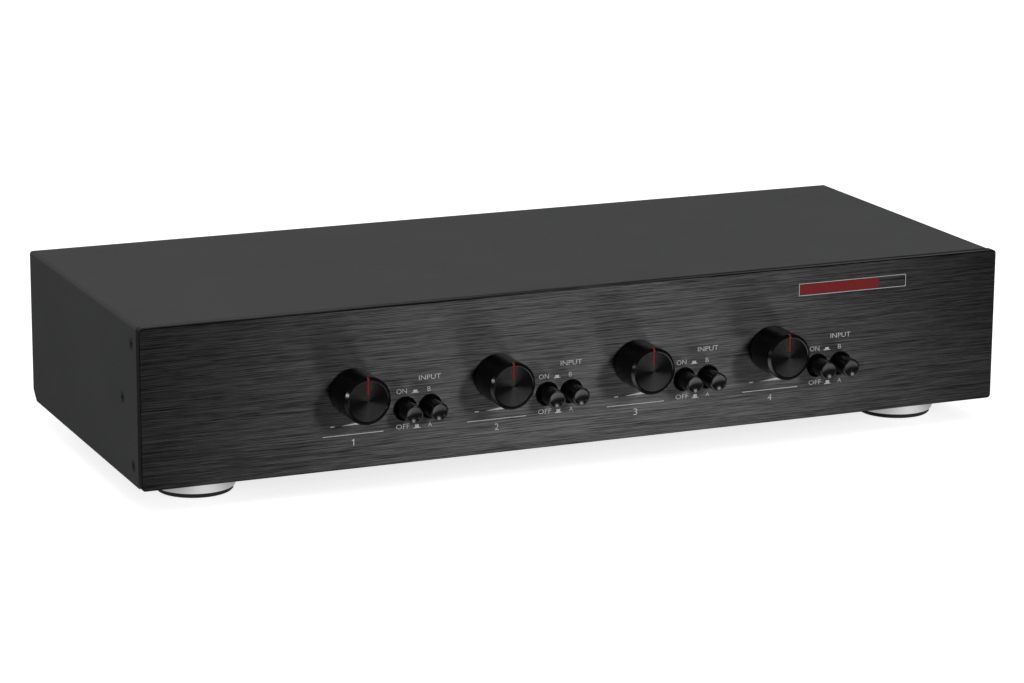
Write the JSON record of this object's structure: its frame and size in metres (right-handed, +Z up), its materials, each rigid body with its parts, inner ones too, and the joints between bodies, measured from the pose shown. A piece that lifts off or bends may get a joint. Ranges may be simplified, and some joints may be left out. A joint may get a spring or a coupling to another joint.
{
  "type": "speaker selector switch",
  "caption": "Low full-width metal case with turned volume knobs and pairs of round push buttons that switch and route loudspeaker lines, on round feet.",
  "frame": {"origin": "middle of the base, on the surface that the feet stand on", "axes": "+X to the right seen from the front, -Y towards the user, +Z up"},
  "size_m": [0.43, 0.205, 0.084],
  "materials": {
    "panel_black": "brushed, black anodised",
    "cover_paint": "satin dark grey paint",
    "frame_paint": "matt black paint",
    "tray_paint": "satin black paint",
    "rear_paint": "satin black paint",
    "screw_steel": "zinc plated",
    "screw_black": "black oxide",
    "nickel": "nickel plated",
    "switch_plastic": "moulded",
    "board_green": "solder mask",
    "brass": "plain",
    "terminal_plastic": "moulded",
    "wire_insulation": "smooth",
    "foot_aluminium": "turned, satin",
    "foot_rubber": "matt",
    "knob_black": "gloss black, turned face",
    "shaft_steel": "bright",
    "wafer_phenolic": "phenolic board",
    "button_black": "gloss",
    "plunger_nylon": "natural nylon",
    "core_steel": "varnished laminations",
    "winding_tape": "tape over copper"
  },
  "bodies": {
    "root": {"front_panel": "panel_black", "top_cover": "cover_paint", "front_frame": "frame_paint", "base_tray": "tray_paint", "rear_panel": "rear_paint", "foot_screws": "screw_steel", "bushing_nuts": "nickel", "button_switches": "switch_plastic", "switch_board": "board_green", "board_spacers": "brass", "input_terminal_strip": "terminal_plastic", "output_terminal_strip": "terminal_plastic", "terminal_plates": "brass", "terminal_screws": "nickel", "case_screws": "screw_black", "wiring": "wire_insulation", "front_left_foot": "foot_aluminium", "front_left_foot_pad": "foot_rubber", "front_right_foot": "foot_aluminium", "front_right_foot_pad": "foot_rubber", "rear_left_foot": "foot_aluminium", "rear_left_foot_pad": "foot_rubber", "rear_right_foot": "foot_aluminium", "rear_right_foot_pad": "foot_rubber", "rotary_switch_1": "wafer_phenolic", "transformer_core_1": "core_steel", "transformer_winding_1": "winding_tape", "rotary_switch_2": "wafer_phenolic", "transformer_core_2": "core_steel", "transformer_winding_2": "winding_tape", "rotary_switch_3": "wafer_phenolic", "transformer_core_3": "core_steel", "transformer_winding_3": "winding_tape", "rotary_switch_4": "wafer_phenolic", "transformer_core_4": "core_steel", "transformer_winding_4": "winding_tape"},
    "volume_1": {"volume_knob_1": "knob_black", "switch_shaft_1": "shaft_steel"},
    "on_off_1": {"on_off_button_1": "button_black", "on_off_plunger_1": "plunger_nylon"},
    "input_1": {"input_button_1": "button_black", "input_plunger_1": "plunger_nylon"},
    "volume_2": {"volume_knob_2": "knob_black", "switch_shaft_2": "shaft_steel"},
    "on_off_2": {"on_off_button_2": "button_black", "on_off_plunger_2": "plunger_nylon"},
    "input_2": {"input_button_2": "button_black", "input_plunger_2": "plunger_nylon"},
    "volume_3": {"volume_knob_3": "knob_black", "switch_shaft_3": "shaft_steel"},
    "on_off_3": {"on_off_button_3": "button_black", "on_off_plunger_3": "plunger_nylon"},
    "input_3": {"input_button_3": "button_black", "input_plunger_3": "plunger_nylon"},
    "volume_4": {"volume_knob_4": "knob_black", "switch_shaft_4": "shaft_steel"},
    "on_off_4": {"on_off_button_4": "button_black", "on_off_plunger_4": "plunger_nylon"},
    "input_4": {"input_button_4": "button_black", "input_plunger_4": "plunger_nylon"}
  },
  "joints": [
    {"name": "volume_turn_1", "type": "hinge", "parent": "root", "child": "volume_1", "pos_m": [-0.116, -0.083, 0.0465], "axis": [0, 1, 0], "range_deg": [-150, 150]},
    {"name": "on_off_press_1", "type": "slide", "parent": "root", "child": "on_off_1", "axis": [0, 1, 0], "range_m": [0, 0.0035], "stiffness_N_per_m": 300},
    {"name": "input_press_1", "type": "slide", "parent": "root", "child": "input_1", "axis": [0, 1, 0], "range_m": [0, 0.0035], "stiffness_N_per_m": 300},
    {"name": "volume_turn_2", "type": "hinge", "parent": "root", "child": "volume_2", "pos_m": [-0.046, -0.083, 0.0465], "axis": [0, 1, 0], "range_deg": [-150, 150]},
    {"name": "on_off_press_2", "type": "slide", "parent": "root", "child": "on_off_2", "axis": [0, 1, 0], "range_m": [0, 0.0035], "stiffness_N_per_m": 300},
    {"name": "input_press_2", "type": "slide", "parent": "root", "child": "input_2", "axis": [0, 1, 0], "range_m": [0, 0.0035], "stiffness_N_per_m": 300},
    {"name": "volume_turn_3", "type": "hinge", "parent": "root", "child": "volume_3", "pos_m": [0.024, -0.083, 0.0465], "axis": [0, 1, 0], "range_deg": [-150, 150]},
    {"name": "on_off_press_3", "type": "slide", "parent": "root", "child": "on_off_3", "axis": [0, 1, 0], "range_m": [0, 0.0035], "stiffness_N_per_m": 300},
    {"name": "input_press_3", "type": "slide", "parent": "root", "child": "input_3", "axis": [0, 1, 0], "range_m": [0, 0.0035], "stiffness_N_per_m": 300},
    {"name": "volume_turn_4", "type": "hinge", "parent": "root", "child": "volume_4", "pos_m": [0.094, -0.083, 0.0465], "axis": [0, 1, 0], "range_deg": [-150, 150]},
    {"name": "on_off_press_4", "type": "slide", "parent": "root", "child": "on_off_4", "axis": [0, 1, 0], "range_m": [0, 0.0035], "stiffness_N_per_m": 300},
    {"name": "input_press_4", "type": "slide", "parent": "root", "child": "input_4", "axis": [0, 1, 0], "range_m": [0, 0.0035], "stiffness_N_per_m": 300}
  ]
}
